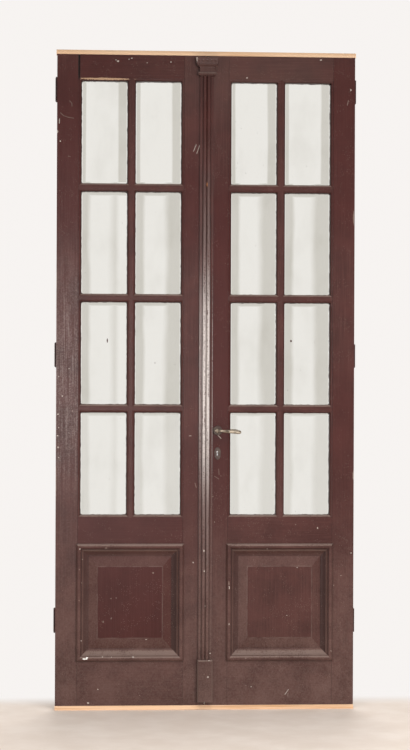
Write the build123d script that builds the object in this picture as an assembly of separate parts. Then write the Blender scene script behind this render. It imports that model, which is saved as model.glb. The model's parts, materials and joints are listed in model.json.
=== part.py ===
from build123d import *
import os

# A pair of tall glazed doors with a reeded strip over the meeting line.
# Millimetres. X runs to the right, Y to the back and Z up, seen from the front.
# The origin is the middle of the underside of the sill batten.
# A leaf is drawn with x = 0 at its hinge edge, y = 0 in its middle plane and z = 0 at its foot.

# Leaves
leaf_height = 2500.0
leaf_width = 573.0
leaf_thick = 42.0
meeting_gap = 4.0
running_gap = 0.5
overrun = 5.0

# Battens above and below the pair
batten_height = 17.0
batten_depth = 40.0
batten_arris = 1.0
head_overhang = 3.0
sill_overhang = 1.0

# Stiles, rails and glazing bars: the flat width that shows between mouldings
stile_face = 84.0
head_rail_face = 90.0
lock_rail_face = 99.5
bottom_rail_face = 169.5
bar_face = 10.5
pane_columns = 2
pane_rows = 4
tenon_length = 56.0
tenon_thick = 13.0
tenon_inset = 14.0
shrink_gap = 4.0

# Ovolo moulding worked on the edges round each pane, and the glazing rebate behind it
sticking_width = 11.0
sticking_quirk = 1.6
rebate_width = 8.0
rebate_depth = 17.0
glass_thick = 3.0
glass_clear = 1.5
putty_inset = 1.0

# Raised panel and the bolection moulding round it
moulding_height = 452.0
moulding_width = 48.0
moulding_lap = 5.0
moulding_proud = 11.0
moulding_roll = 20.0
moulding_fillet = 2.5
moulding_quirk = 2.0
moulding_sag = 4.0
panel_drop = 13.0
panel_tongue = 12.0
panel_groove = 10.0
panel_clear = 1.0
bevel_side = 34.5
bevel_end = 40.5
bevel_rise = 7.0
field_step = 1.5
bead_width = 14.0
bead_fillet = 2.0
roll_crown_share = 0.4
roll_fall_share = 0.6

# Reeded strip, capital and base block on the left leaf
astragal_width = 51.0
astragal_base = 11.0
astragal_quirk = 0.6
astragal_groove = 2.4
astragal_groove_depth = 3.0
reed_radius = 7.2
lap_relief = 1.2
base_block_width = 58.0
base_block_height = 162.0
base_block_proud = 26.0
base_block_lift = 13.0
base_block_chamfer = 4.0
capital_drop = 10.0
capital_frieze = 24.0
capital_ledge = 6.0
capital_cove = 11.0
capital_neck = 14.0
capital_torus = 15.0
capital_batter = 3.0
torus_fillet = 2.0
frieze_half = 43.0
ledge_half = 38.0
neck_half = 28.0
torus_half = 35.0
frieze_proud = 32.0
ledge_proud = 27.5
neck_proud = 22.0
torus_proud = 27.0
bud_radius = 6.5
bud_count = 5
bud_sink_share = 0.45
cove_share = 0.3

# Butt hinges: flaps lie in the edge of the leaf, knuckles behind it
hinge_height = 90.0
hinge_drop = 130.0
hinge_rise = 323.0
hinge_count = 3
hinge_gap = 3.0
flap_thick = 2.5
flap_width = 36.0
knuckle_radius = 6.0
knuckle_count = 5
knuckle_clear = 0.5
knuckle_end_clear = 0.2
pin_radius = 2.75
pin_clear = 0.05
pin_head_radius = 4.5
pin_head_height = 3.0
flap_hole_radius = 2.5
flap_hole_across = 14.0
flap_hole_up = 60.0
flap_hole_shift = 2.0
screw_head_radius = 4.4
screw_head_depth = 1.5
screw_length = 24.0
screw_clear = 0.05

# Lock, lever and keyhole on the right leaf; heights are above the foot of the leaf
backset = 44.5
spindle_height = 1057.0
key_drop = 88.0
spindle_side = 8.0
spindle_hole_radius = 9.0
case_depth = 70.0
case_thick = 15.0
case_wall = 2.0
case_margin = 45.0
forend_thick = 3.0
forend_width = 22.0
forend_margin = 18.0
forend_screw_inset = 8.0
follower_radius = 12.0
follower_boss_radius = 8.5
follower_side_clear = 0.3
shaft_clear = 0.08
arm_width = 8.0
arm_reach = 20.0
latch_throw = 12.0
latch_rise = 14.0
latch_head = 18.0
latch_thick = 10.0
latch_body = 24.0
latch_tail = 8.0
latch_play = 1.6
lug_width = 6.0
lug_drop = 10.0
bolt_slot_clear = 0.3
dead_bolt_rise = 12.0
dead_bolt_height = 22.0
dead_bolt_length = 40.0
dead_bolt_throw = 14.0
pocket_clear = 2.0
strike_thick = 2.0
strike_margin = 20.0
keyhole_radius = 3.6
keyhole_rise = 5.4
keyhole_fall = 9.4
keyhole_waist = 1.5
keyhole_foot = 3.2
rose_radius = 19.0
rose_thick = 6.0
rose_rim = 2.5
escutcheon_width = 26.0
escutcheon_height = 48.0
escutcheon_thick = 2.5
escutcheon_chamfer = 1.0
lever_neck_radius = 8.0
lever_waist_radius = 6.0
lever_waist_start = 12.0
lever_waist_end = 28.0
lever_standoff = 42.0
lever_hub_radius = 9.0
lever_length = 89.0
lever_stub = 8.5
lever_stub_radius = 4.6
lever_root_radius = 4.4
lever_tip_radius = 7.6
lever_cap_length = 9.0
lever_ring_depth = 1.0
lever_ring_width = 2.0
lever_droop_deg = 3.6

# Barrel bolts on the back of the left leaf
rod_radius = 5.0
top_rod_length = 520.0
bottom_rod_length = 300.0
rod_end_inset = 6.0
bolt_plate_width = 38.0
bolt_plate_thick = 2.5
bolt_plate_inset = 14.0
staple_width = 20.0
staple_height = 14.0
staple_wall = 3.0
knob_radius = 5.0
knob_length = 16.0
knob_ball_radius = 7.0
knob_from_end = 60.0
bolt_screw_inset = 6.5
bolt_screw_length = 16.0

# Places that follow from the sizes above
front = -leaf_thick / 2
back = leaf_thick / 2
half_width = leaf_width + meeting_gap / 2
leaf_foot = batten_height + running_gap
sight = stile_face + sticking_width
bar_width = bar_face + 2 * sticking_width
middle = leaf_width / 2
pane_width = (leaf_width - 2 * sight - (pane_columns - 1) * bar_width) / pane_columns
lowest_sight = bottom_rail_face + moulding_height + lock_rail_face + sticking_width
highest_sight = leaf_height - head_rail_face - sticking_width
pane_height = (highest_sight - lowest_sight - (pane_rows - 1) * bar_width) / pane_rows
pane_bottoms = [lowest_sight + row * (pane_height + bar_width) for row in range(pane_rows)]
pane_lefts = [sight + column * (pane_width + bar_width) for column in range(pane_columns)]
panel_foot = bottom_rail_face + moulding_lap
panel_head = bottom_rail_face + moulding_height - moulding_lap
panel_centre = bottom_rail_face + moulding_height / 2
moulding_across = leaf_width - 2 * (stile_face - moulding_lap)
glass_seat = back - rebate_depth
panel_face = front + panel_drop
panel_back = panel_face + panel_tongue
hinge_pitch = (leaf_height - hinge_drop - hinge_rise) / (hinge_count - 1)
hinge_heights = [hinge_rise + step * hinge_pitch for step in reversed(range(hinge_count))]
pin_x = -hinge_gap / 2
pin_y = back + knuckle_radius + knuckle_clear
flap_front = pin_y - flap_width
flap_hole_y = (flap_front + back) / 2 - flap_hole_shift
key_height = spindle_height - key_drop
spindle_x = leaf_width - backset
case_foot = key_height - case_margin
case_head = spindle_height + case_margin
forend_x = leaf_width - forend_thick
latch_foot = spindle_height + latch_rise
dead_foot = key_height + dead_bolt_rise
lever_y = front - lever_standoff
rod_x = leaf_width - stile_face / 2
rod_y = back + bolt_plate_thick + staple_wall + rod_radius


def block(xs, ys, zs):
    """A box between a low and a high limit along each axis."""
    spans = [high - low for low, high in (xs, ys, zs)]
    centres = [(low + high) / 2 for low, high in (xs, ys, zs)]
    return Pos(*centres) * Box(*spans)


def slab(outline, rear=back, face=front):
    """A plate with an outline of (x, z) points, from the plane y = rear forward to y = face."""
    return extrude(Plane.XZ.offset(-rear) * make_face(Polyline(*outline, close=True)), rear - face)


def crossed(across, upward):
    """What lies inside both an (x, y) profile drawn along z and a (z, y) profile drawn along x.

    Steps and curves in the two profiles then meet in mitres at the corners.
    """
    sideways = Plane(origin=(0, 0, 0), x_dir=(0, 0, 1), z_dir=(-1, 0, 0))
    column = extrude(Plane.XY * across, leaf_height, both=True)
    beam = extrude(sideways * upward, leaf_height, both=True)
    return column & beam


def both_sides(half):
    """A closed face from edges on the right of x = 0 and their mirror images."""
    edges = [edge for line in half for edge in line.edges()]
    return make_face(edges + [mirror(edge, Plane.YZ) for edge in edges])


def rod(radius, start, end, axis):
    """A round bar of one radius between two points along an axis letter."""
    turn = {"x": Rot(0, 90, 0), "y": Rot(-90, 0, 0), "z": Rot(0, 0, 0)}[axis]
    length = (Vector(*end) - Vector(*start)).length
    low = Vector(*(min(pair) for pair in zip(start, end)))
    place = Cylinder(radius, length, align=(Align.CENTER, Align.CENTER, Align.MIN))
    return Pos(*low) * turn * place


def solids(*shapes):
    """All the solids in the given shapes, as one group."""
    return Compound([one for shape in shapes for one in shape.solids()])


# Joinery of one leaf

def pane_profile(width):
    """Half profile of the hole at a pane: ovolo at the front, sight line, rebate at the back."""
    half = width / 2
    ovolo = sticking_width - sticking_quirk
    step = front + sticking_quirk
    outer = half + sticking_width
    rebate = half + rebate_width
    return both_sides([
        Line((0, front - overrun), (outer, front - overrun)),
        Line((outer, front - overrun), (outer, step)),
        Line((outer, step), (half + ovolo, step)),
        CenterArc((half + ovolo, step + ovolo), ovolo, 180, 90),
        Line((half, step + ovolo), (half, glass_seat)),
        Line((half, glass_seat), (rebate, glass_seat)),
        Line((rebate, glass_seat), (rebate, back + overrun)),
        Line((rebate, back + overrun), (0, back + overrun)),
    ])


def at_pane(column, row):
    """The place of a pane's middle."""
    return Pos(pane_lefts[column] + pane_width / 2, 0, pane_bottoms[row] + pane_height / 2)


pane_hole = crossed(pane_profile(pane_width), pane_profile(pane_height))
pane_holes = {
    (column, row): at_pane(column, row) * pane_hole
    for column in range(pane_columns)
    for row in range(pane_rows)
}


def holes_at(columns, rows):
    """The pane holes in some columns and rows."""
    return [pane_holes[column, row] for column in columns for row in rows]


every_column = range(pane_columns)
every_row = range(pane_rows)


def comb(edge, outward):
    """Points up an edge whose moulding stands out beside each pane and is mitred at both ends."""
    points = []
    for low in pane_bottoms:
        high = low + pane_height
        tip = edge + outward * sticking_width
        points += [(edge, low - sticking_width), (tip, low)]
        points += [(tip, high), (edge, high + sticking_width)]
    return points


def notched(level, towards_glass):
    """Points along a rail edge whose moulding is mitred at the stiles and at the upright bars."""
    points = []
    for left in pane_lefts:
        right = left + pane_width
        inner = level - towards_glass * sticking_width
        points += [(left - sticking_width, inner), (left, level)]
        points += [(right, level), (right + sticking_width, inner)]
    return points


def rail_tenon(low, high):
    """The tenon pair of a rail that runs from low to high, as boxes in the two stiles."""
    depth = (-tenon_thick / 2, tenon_thick / 2)
    rise = (low + tenon_inset, high - tenon_inset)
    near = block((stile_face - tenon_length, stile_face), depth, rise)
    far_edge = leaf_width - stile_face
    far = block((far_edge, far_edge + tenon_length), depth, rise)
    return near, far


panel_width = leaf_width - 2 * stile_face
groove = block(
    (stile_face - panel_groove, leaf_width - stile_face + panel_groove),
    (panel_face, panel_back),
    (panel_foot - panel_groove, panel_head + panel_groove),
)
bottom_tenons = rail_tenon(0, panel_foot)
lock_tenons = rail_tenon(panel_head, lowest_sight - sticking_width)
top_tenons = rail_tenon(highest_sight + sticking_width, leaf_height)


def hinge_stile():
    """The stile at the hinge edge, mortised, grooved, and let in for the hinge flaps."""
    outline = [(0, 0), (stile_face, 0), *comb(stile_face, 1), (stile_face, leaf_height), (0, leaf_height)]
    body = slab(outline)
    cuts = holes_at([0], every_row) + [groove]
    cuts += [pair[0] for pair in (bottom_tenons, lock_tenons, top_tenons)]
    for height in hinge_heights:
        rise = (height - hinge_height / 2, height + hinge_height / 2)
        cuts.append(block((0, flap_thick), (flap_front, back), rise))
        cuts += [screw_blank(place, screw_clear) for place in flap_places(height)]
    return body - cuts


def meeting_stile(cuts):
    """The stile at the meeting edge, with the given cuts for lock or strike."""
    edge = leaf_width - stile_face
    outline = [(leaf_width, 0), (leaf_width, leaf_height), (edge, leaf_height)]
    outline += [*reversed(comb(edge, -1)), (edge, 0)]
    tenons = [pair[1] for pair in (bottom_tenons, lock_tenons, top_tenons)]
    return slab(outline) - holes_at([pane_columns - 1], every_row) - [groove] - tenons - cuts


def top_rail():
    """The rail above the panes, with its two tenons."""
    far = leaf_width - stile_face
    outline = [*notched(highest_sight, -1), (far, leaf_height), (stile_face, leaf_height)]
    return slab(outline) - holes_at(every_column, [pane_rows - 1]) + list(top_tenons)


def open_shoulder():
    """The gap that has opened between the left hinge stile and the shoulder of its top rail."""
    across = (stile_face, stile_face + shrink_gap)
    rise = (highest_sight + sticking_width, leaf_height)
    depths = ((front, -tenon_thick / 2), (tenon_thick / 2, back))
    return [block(across, depth, rise) for depth in depths]


def lock_rail():
    """The rail between the panes and the panel, with its two tenons."""
    far = leaf_width - stile_face
    outline = [*notched(lowest_sight, 1), (far, panel_head), (stile_face, panel_head)]
    return slab(outline) - holes_at(every_column, [0]) - groove + list(lock_tenons)


def bottom_rail():
    """The rail below the panel, with its two tenons."""
    across = (stile_face, leaf_width - stile_face)
    return block(across, (front, back), (0, panel_foot)) - groove + list(bottom_tenons)


def upright_bar():
    """The glazing bar between the pane columns, in one length from rail to rail."""
    left = comb(middle - bar_face / 2, -1)
    right = comb(middle + bar_face / 2, 1)
    return slab(left + right[::-1]) - holes_at(every_column, every_row)


def cross_bars():
    """The short bars between panes of one column, mitred into stile and upright bar."""
    bars = []
    for column, left in enumerate(pane_lefts):
        right = left + pane_width
        for row in range(pane_rows - 1):
            low = pane_bottoms[row] + pane_height
            high = low + bar_width
            outline = [
                (left - sticking_width, low + sticking_width), (left, low),
                (right, low), (right + sticking_width, low + sticking_width),
                (right + sticking_width, high - sticking_width), (right, high),
                (left, high), (left - sticking_width, high - sticking_width),
            ]
            bars.append(slab(outline) - holes_at([column], [row, row + 1]))
    return solids(*bars)


def panes():
    """The sheets of glass, bedded against the rebates."""
    spare = 2 * (rebate_width - glass_clear)
    seat = glass_seat + glass_thick / 2
    sheet = Pos(0, seat, 0) * Box(pane_width + spare, glass_thick, pane_height + spare)
    return solids(*[at_pane(*place) * sheet for place in pane_holes])


def putty_profile(width):
    """Profile of the clear space inside a putty fillet, flaring to the back."""
    near = width / 2
    far = near + rebate_width - putty_inset
    bed = glass_seat + glass_thick
    end = back - putty_inset
    return make_face(Polyline((-near, bed), (near, bed), (far, end), (-far, end), close=True))


def putty():
    """The fillets of putty that hold the glass, sloping from the rebate to the sight line."""
    bed = glass_seat + glass_thick
    end = back - putty_inset
    wide = 2 * rebate_width
    ring = Pos(0, (bed + end) / 2, 0) * Box(pane_width + wide, end - bed, pane_height + wide)
    ring -= crossed(putty_profile(pane_width), putty_profile(pane_height))
    return solids(*[at_pane(*place) * ring for place in pane_holes])


def panel_profile(opening, outer, bevel):
    """Profile of the raised panel: tongue, bevel, small step and flat field."""
    edge = opening / 2 + panel_groove - panel_clear
    foot = outer / 2 - moulding_width
    field = foot - bevel
    shoulder = panel_face - bevel_rise
    return make_face(Polyline(
        (-edge, panel_back), (edge, panel_back), (edge, panel_face), (foot, panel_face),
        (field, shoulder), (field, shoulder - field_step), (-field, shoulder - field_step),
        (-field, shoulder), (-foot, panel_face), (-edge, panel_face), close=True,
    ))


def panel():
    """The raised and fielded panel."""
    across = panel_profile(panel_width, moulding_across, bevel_side)
    upward = panel_profile(panel_head - panel_foot, moulding_height, bevel_end)
    return Pos(middle, 0, panel_centre) * crossed(across, upward)


def mitred_frame(section, depth, across, upward, face, proud):
    """Four mitred lengths of moulding round the panel, their outer edges on a rectangle.

    The section has x inward from the outer edge and y proud of the plane y = face.
    """
    out = Vector(0, proud, 0)
    lengths = []
    for inward in (Vector(0, 0, 1), Vector(0, 0, -1), Vector(1, 0, 0), Vector(-1, 0, 0)):
        reach, run = (upward, across) if inward.Z else (across, upward)
        origin = Vector(middle, face, panel_centre) - inward * (reach / 2)
        along = inward.cross(out)
        length = extrude(Plane(origin, x_dir=inward, z_dir=along) * section, run / 2, both=True)
        ends = Polyline(
            (-run / 2, 0), (run / 2, 0), (run / 2 - depth, depth), (depth - run / 2, depth), close=True
        )
        mitres = extrude(Plane(origin, x_dir=along, z_dir=out) * make_face(ends), leaf_thick, both=True)
        lengths.append(length & mitres)
    return solids(*lengths)


def panel_moulding():
    """The bolection moulding: a roll that laps the frame, a quirk, and a hollow down to the panel."""
    fall = moulding_proud * roll_fall_share
    quirk = fall - moulding_quirk
    slope = moulding_roll + moulding_quirk
    toe = moulding_fillet - panel_drop
    sag = ((slope + moulding_width) / 2 - moulding_sag / 2, (quirk + toe) / 2 - moulding_sag)
    section = make_face([
        Line((0, 0), (0, moulding_fillet)),
        ThreePointArc(
            (0, moulding_fillet), (moulding_roll * roll_crown_share, moulding_proud), (moulding_roll, fall)
        ),
        Polyline((moulding_roll, fall), (moulding_roll, quirk), (slope, quirk)),
        ThreePointArc((slope, quirk), sag, (moulding_width, toe)),
        Polyline(
            (moulding_width, toe), (moulding_width, -panel_drop), (moulding_lap, -panel_drop),
            (moulding_lap, 0), (0, 0),
        ),
    ])
    return mitred_frame(section, moulding_width, moulding_across, moulding_height, front, -1)


def back_bead():
    """The plain round bead that fills the corner behind the panel."""
    depth = back - panel_back
    bead_radius = bead_width - bead_fillet
    top = bead_fillet
    section = make_face([
        Polyline((0, -top), (0, -depth), (bead_width, -depth), (bead_width, -top - bead_radius)),
        CenterArc((bead_fillet, -top - bead_radius), bead_radius, 0, 90),
        Line((bead_fillet, -top), (0, -top)),
    ])
    return mitred_frame(section, bead_width, panel_width, panel_head - panel_foot, back, 1)


# Hinges

def flap_places(height):
    """The screw places of one flap, as (y, z)."""
    return [
        (flap_hole_y + side * flap_hole_across / 2, height + rise * flap_hole_up / 2)
        for side in (-1, 1)
        for rise in (-1, 1)
    ]


def countersink(face, inward, clear, length=screw_length):
    """A countersunk screw form along x from the plane x = face, at y = z = 0."""
    head = screw_head_radius + clear
    shank = flap_hole_radius - screw_clear + clear
    end = length + clear
    outline = Polyline((0, 0), (head, 0), (shank, screw_head_depth), (shank, end), (0, end), close=True)
    form = revolve(Plane.XZ * make_face(outline), Axis.Z)
    return Pos(face, 0, 0) * Rot(0, 90 * inward, 0) * form


def screw_blank(place, clear):
    """A screw of a leaf flap, with room round it when it is used as a cut."""
    return Pos(0, *place) * countersink(0, 1, clear)


def knuckle(height, number, radius, clear):
    """One knuckle, or the room for it, counted from the foot of the hinge."""
    pitch = hinge_height / knuckle_count
    low = height - hinge_height / 2 + number * pitch + knuckle_end_clear - clear
    high = low + pitch - 2 * knuckle_end_clear + 2 * clear
    return rod(radius, (pin_x, pin_y, low), (pin_x, pin_y, high), "z")


def flap(height, low, high, face, inward, own):
    """A hinge flap from x = low to high with its own knuckles, screwed from the plane x = face."""
    rise = (height - hinge_height / 2, height + hinge_height / 2)
    plate = block((low, high), (flap_front, pin_y), rise)
    others = [number for number in range(knuckle_count) if number not in own]
    room = knuckle_radius + knuckle_clear
    plate = plate - [knuckle(height, number, room, knuckle_end_clear) for number in others]
    plate = plate + [knuckle(height, number, knuckle_radius, 0) for number in own]
    bore = (pin_x, pin_y, rise[0] - overrun), (pin_x, pin_y, rise[1] + overrun)
    plate = plate - rod(pin_radius + pin_clear, *bore, "z")
    return plate - [Pos(0, *place) * countersink(face, inward, screw_clear) for place in flap_places(height)]


odd_knuckles = range(1, knuckle_count, 2)
even_knuckles = range(0, knuckle_count, 2)


def leaf_flaps():
    """The flaps let into the edge of the leaf."""
    return solids(*[flap(height, 0, flap_thick, 0, 1, odd_knuckles) for height in hinge_heights])


def frame_flaps():
    """The flaps that are screwed to the opening."""
    inner = -hinge_gap
    outer = inner - flap_thick
    return solids(*[flap(height, outer, inner, inner, -1, even_knuckles) for height in hinge_heights])


def hinge_pins():
    """The hinge pins, with a button at each end."""
    pins = []
    for height in hinge_heights:
        low = height - hinge_height / 2
        high = height + hinge_height / 2
        pin = rod(pin_radius, (pin_x, pin_y, low), (pin_x, pin_y, high), "z")
        foot = rod(pin_head_radius, (pin_x, pin_y, low - pin_head_height), (pin_x, pin_y, low), "z")
        head = rod(pin_head_radius, (pin_x, pin_y, high), (pin_x, pin_y, high + pin_head_height), "z")
        pins.append(pin + foot + head)
    return solids(*pins)


def hinge_screws():
    """The screws of the leaf flaps."""
    places = [place for height in hinge_heights for place in flap_places(height)]
    return solids(*[screw_blank(place, 0) for place in places])


# Strip, capital and base block over the meeting line, drawn with x = 0 on that line

def lap_room(low, high):
    """The relief behind a piece where it laps the right leaf."""
    across = (-meeting_gap / 2, frieze_half + overrun)
    return block(across, (front - lap_relief, front + overrun), (low, high))


astragal_foot = base_block_lift + base_block_height
capital_height = capital_frieze + capital_ledge + capital_cove + capital_neck + capital_torus
capital_foot = leaf_height - capital_drop - capital_height


def astragal():
    """The strip: two reeds side by side, a groove beside each, and flat edges."""
    inner = astragal_quirk / 2
    outer = inner + 2 * reed_radius
    top = front - astragal_base
    dip = top + astragal_groove_depth
    edge = outer + astragal_groove
    profile = both_sides([
        Line((0, top), (inner, top)),
        CenterArc((inner + reed_radius, top), reed_radius, 180, 180),
        Polyline((outer, top), (outer, dip), (edge, dip), (edge, top)),
        Polyline((edge, top), (astragal_width / 2, top), (astragal_width / 2, front), (0, front)),
    ])
    strip = extrude(Plane.XY.offset(astragal_foot) * profile, capital_foot - astragal_foot)
    return strip - lap_room(astragal_foot, capital_foot)


def capital_edges(frieze, ledge, neck, torus, shaft):
    """Edges up one side of the capital: frieze, ledge, cove, neck and torus, as (x, height) edges."""
    torus_top = capital_torus
    neck_top = torus_top + capital_neck
    cove_top = neck_top + capital_cove
    ledge_top = cove_top + capital_ledge
    bow = (neck + cove_share * (ledge - neck), cove_top - cove_share * capital_cove)
    return [
        Line((0, capital_height), (frieze, capital_height)),
        Line((frieze, capital_height), (frieze - capital_batter, ledge_top)),
        Polyline((frieze - capital_batter, ledge_top), (ledge, ledge_top), (ledge, cove_top)),
        ThreePointArc((ledge, cove_top), bow, (neck, neck_top)),
        Line((neck, neck_top), (neck, torus_top)),
        ThreePointArc((neck, torus_top), (torus, (torus_top + torus_fillet) / 2), (shaft, torus_fillet)),
        Polyline((shaft, torus_fillet), (shaft, 0), (0, 0)),
    ]


def capital():
    """The capital, with a row of carved buds along its frieze."""
    shaft = astragal_width / 2
    shaft_proud = astragal_base + reed_radius
    seen = both_sides(capital_edges(frieze_half, ledge_half, neck_half, torus_half, shaft))
    side_edges = capital_edges(frieze_proud, ledge_proud, neck_proud, torus_proud, shaft_proud)
    side_edges.append(Line((0, 0), (0, capital_height)))
    side = make_face([edge for line in side_edges for edge in line.edges()])
    from_front = Pos(0, front, 0) * extrude(Plane.XZ * seen, frieze_proud)
    from_side = Plane(origin=(0, front, 0), x_dir=(0, -1, 0), z_dir=(-1, 0, 0))
    body = from_front & extrude(from_side * side, frieze_half, both=True)
    pitch = 2 * (frieze_half - capital_batter) / bud_count
    bud_y = front - frieze_proud + capital_batter + bud_radius * bud_sink_share
    bud_z = capital_height - capital_frieze / 2
    for number in range(bud_count):
        bud_x = (number - (bud_count - 1) / 2) * pitch
        body += Pos(bud_x, bud_y, bud_z) * Sphere(bud_radius)
    return Pos(0, 0, capital_foot) * body - lap_room(capital_foot, leaf_height)


def base_block():
    """The plain block at the foot of the strip, its front edges bevelled."""
    low = base_block_lift
    high = base_block_lift + base_block_height
    half = base_block_width / 2
    body = block((-half, half), (front - base_block_proud, front), (low, high))
    rim = body.faces().sort_by(Axis.Y)[0].edges()
    return chamfer(rim, base_block_chamfer) - lap_room(low, high)


# Lock and lever of the right leaf, drawn with x = leaf_width at its meeting edge

def keyhole(rear, face):
    """The keyhole as a solid from y = rear forward to y = face."""
    slot = slab(
        [
            (spindle_x - keyhole_waist, key_height + keyhole_rise),
            (spindle_x + keyhole_waist, key_height + keyhole_rise),
            (spindle_x + keyhole_foot, key_height - keyhole_fall),
            (spindle_x - keyhole_foot, key_height - keyhole_fall),
        ],
        rear,
        face,
    )
    eye = key_height + keyhole_rise
    return slot + rod(keyhole_radius, (spindle_x, face, eye), (spindle_x, rear, eye), "y")


def spindle_bar(radius, reach):
    """A round bar on the spindle's line, as far in front of the middle plane as behind it."""
    return rod(radius, (spindle_x, -reach, spindle_height), (spindle_x, reach, spindle_height), "y")


def square_bar(reach):
    """The square spindle, as far in front of the middle plane as behind it."""
    return Pos(spindle_x, 0, spindle_height) * Box(spindle_side, 2 * reach, spindle_side)


case_back = forend_x - case_depth
case_half = case_thick / 2
cavity_half = case_half - case_wall
forend_foot = case_foot - forend_margin
forend_head = case_head + forend_margin
forend_heights = (forend_foot + forend_screw_inset, forend_head - forend_screw_inset)


def edge_screw(height, clear):
    """A screw driven into the meeting edge at a height."""
    return Pos(0, 0, height) * countersink(leaf_width, -1, clear)


def lock_cuts():
    """What is cut out of the right meeting stile for the lock."""
    half = forend_width / 2
    return [
        block((case_back, forend_x), (-case_half, case_half), (case_foot, case_head)),
        block((forend_x, leaf_width), (-half, half), (forend_foot, forend_head)),
        spindle_bar(spindle_hole_radius, back),
        keyhole(back, front),
        *[edge_screw(height, screw_clear) for height in forend_heights],
    ]


def lock_case():
    """The lock's case, open towards the forend, pierced for the follower and the key."""
    body = block((case_back, forend_x), (-case_half, case_half), (case_foot, case_head))
    body -= block(
        (case_back + case_wall, forend_x),
        (-cavity_half, cavity_half),
        (case_foot + case_wall, case_head - case_wall),
    )
    return body - spindle_bar(follower_boss_radius + shaft_clear, case_half) - keyhole(case_half, -case_half)


def latch_window(clear):
    """Half thickness and heights of the latch's way through a plate."""
    half = latch_thick / 2 + clear
    return (-half, half), (latch_foot - clear, latch_foot + latch_head + clear)


def dead_window(clear):
    """Half thickness and heights of the dead bolt's way through a plate."""
    half = latch_thick / 2 + clear
    return (-half, half), (dead_foot - clear, dead_foot + dead_bolt_height + clear)


def lock_forend():
    """The plate on the edge of the leaf that the bolts pass through."""
    half = forend_width / 2
    plate = block((forend_x, leaf_width), (-half, half), (forend_foot, forend_head))
    across = (forend_x, leaf_width)
    plate -= [block(across, *latch_window(bolt_slot_clear)), block(across, *dead_window(bolt_slot_clear))]
    return plate - [edge_screw(height, screw_clear) for height in forend_heights]


def forend_screws():
    """The two screws of the forend."""
    return solids(*[edge_screw(height, 0) for height in forend_heights])


lug_x = spindle_x - arm_width / 2 - latch_play
tail_foot = spindle_height + arm_reach + latch_play


def latch_bolt():
    """The sprung latch: bevelled head, tail over the follower, and the lug that its arm pulls."""
    depth, rise = latch_window(0)
    nose = leaf_width + latch_throw
    bevel = [(nose, depth[1]), (forend_x - latch_body, depth[1]), (forend_x - latch_body, depth[0])]
    bevel += [(leaf_width + latch_throw - latch_thick, depth[0])]
    head = extrude(Plane.XY.offset(rise[0]) * make_face(Polyline(*bevel, close=True)), latch_head)
    half = cavity_half - follower_side_clear
    lug_far = lug_x - lug_width
    tail = block((lug_far, forend_x - latch_body), (-half, half), (tail_foot, tail_foot + latch_tail))
    lug = block((lug_far, lug_x), (-half, half), (tail_foot - lug_drop, tail_foot))
    return head + tail + lug


def dead_bolt():
    """The dead bolt, drawn back flush with the forend."""
    depth, rise = dead_window(0)
    return block((leaf_width - dead_bolt_length, leaf_width), depth, rise)


def follower():
    """The turning piece that the spindle passes through, with the arm that draws the latch."""
    half = cavity_half - follower_side_clear
    disc = spindle_bar(follower_radius, half) + spindle_bar(follower_boss_radius, case_half)
    across = (spindle_x - arm_width / 2, spindle_x + arm_width / 2)
    arm = block(across, (-half, half), (spindle_height, spindle_height + arm_reach))
    return disc + arm - square_bar(case_half + overrun)


spindle_reach = lever_waist_end - front


def spindle():
    """The square bar from lever to lever."""
    return square_bar(spindle_reach)


def front_lever():
    """The lever: a turned neck on the spindle and a tapered round arm that droops a little."""
    neck = make_face([
        Polyline(
            (0, 0), (lever_neck_radius, 0), (lever_neck_radius, lever_waist_start),
            (lever_waist_radius, lever_waist_start + rose_rim), (lever_waist_radius, lever_waist_end),
            (lever_hub_radius, lever_standoff),
        ),
        CenterArc((0, lever_standoff), lever_hub_radius, 0, 90),
        Line((0, lever_standoff + lever_hub_radius), (0, 0)),
    ])
    ring = lever_length - lever_cap_length
    cap_x = ring + lever_cap_length * roll_fall_share
    cap_radius = lever_tip_radius * roll_fall_share + lever_ring_depth
    arm = make_face([
        CenterArc((-lever_stub, 0), lever_stub_radius, 90, 90),
        Line((-lever_stub, lever_stub_radius), (0, lever_root_radius)),
        Polyline(
            (0, lever_root_radius), (ring - lever_ring_width, lever_tip_radius),
            (ring - lever_ring_width, lever_tip_radius - lever_ring_depth),
            (ring, lever_tip_radius - lever_ring_depth), (ring, lever_tip_radius),
        ),
        ThreePointArc((ring, lever_tip_radius), (cap_x, cap_radius), (lever_length, 0)),
        Line((lever_length, 0), (-lever_stub - lever_stub_radius, 0)),
    ])
    hub = Pos(0, front, 0) * Rot(90, 0, 0) * revolve(Plane.XZ * neck, Axis.Z)
    bar = revolve(Plane.XY * arm, Axis.X)
    away = Pos(0, lever_y, 0) * Rot(0, 180 - lever_droop_deg, 0) * bar
    return Pos(spindle_x, 0, spindle_height) * (hub + away) - square_bar(spindle_reach)


def front_rose():
    """The round rose that the lever's neck turns in."""
    bore = lever_neck_radius + shaft_clear
    outline = Polyline(
        (bore, 0), (rose_radius, 0), (rose_radius, rose_rim), (rose_radius - rose_rim, rose_thick),
        (bore, rose_thick), close=True,
    )
    turned = Pos(0, front, 0) * Rot(90, 0, 0) * revolve(Plane.XZ * make_face(outline), Axis.Z)
    return Pos(spindle_x, 0, spindle_height) * turned


def front_escutcheon():
    """The oval plate round the keyhole."""
    oval = Plane.XZ.offset(-front) * Ellipse(escutcheon_width / 2, escutcheon_height / 2)
    plate = extrude(oval, escutcheon_thick)
    plate = chamfer(plate.faces().sort_by(Axis.Y)[0].edges(), escutcheon_chamfer)
    return Pos(spindle_x, 0, key_height) * plate - keyhole(front + overrun, front - overrun)


def behind(shape):
    """The same piece on the back of the leaf."""
    return mirror(shape, Plane.XZ)


# Strike and bolts of the left leaf

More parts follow.
